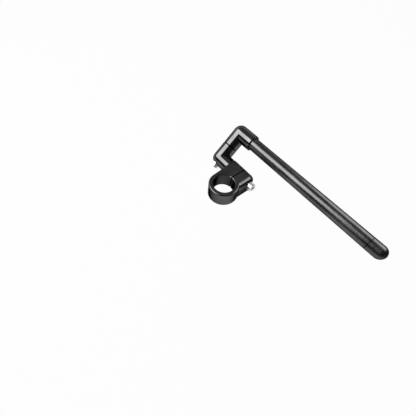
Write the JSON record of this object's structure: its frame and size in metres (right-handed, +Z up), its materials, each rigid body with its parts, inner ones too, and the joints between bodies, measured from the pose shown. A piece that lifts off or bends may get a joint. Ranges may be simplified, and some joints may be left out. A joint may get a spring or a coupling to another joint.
{
  "type": "raised clip-on handlebar",
  "caption": "Raised clip-on handlebar for a motorcycle fork: split clamp, angled elbow riser and straight black bar with a rounded end cap.",
  "frame": {"origin": "centre of the fork bore, at the clamp's mid height", "axes": "+Z up along the fork tube, +X along the bar towards its tip, +Y from the fork tube to the clamp's arm"},
  "size_m": [0.31, 0.1235, 0.0689],
  "materials": {
    "clamp_black": "matte black anodised",
    "elbow_black": "gloss black anodised",
    "bar_black": "satin black anodised",
    "cap_black": "satin black anodised, turned",
    "bolt_steel": "bright zinc plated steel"
  },
  "bodies": {
    "clamp_body": {"fork_clamp": "clamp_black", "pinch_bolt": "bolt_steel"},
    "elbow_body": {"lower_elbow": "elbow_black", "elbow_bolt": "bolt_steel"},
    "bar_body": {"upper_elbow": "elbow_black", "handlebar_tube": "bar_black", "end_cap": "cap_black"}
  },
  "joints": [
    {"name": "elbow_swing", "type": "hinge", "parent": "clamp_body", "child": "elbow_body", "pos_m": [-0.028, 0.0405, 0], "axis": [1, 0, 0], "range_deg": [-130.5, 49.5]},
    {"name": "bar_swing", "type": "hinge", "parent": "elbow_body", "child": "bar_body", "pos_m": [-0.056, 0.06179, 0.01818], "axis": [0, 0.7604, 0.6494], "range_deg": [-45, 45]}
  ]
}
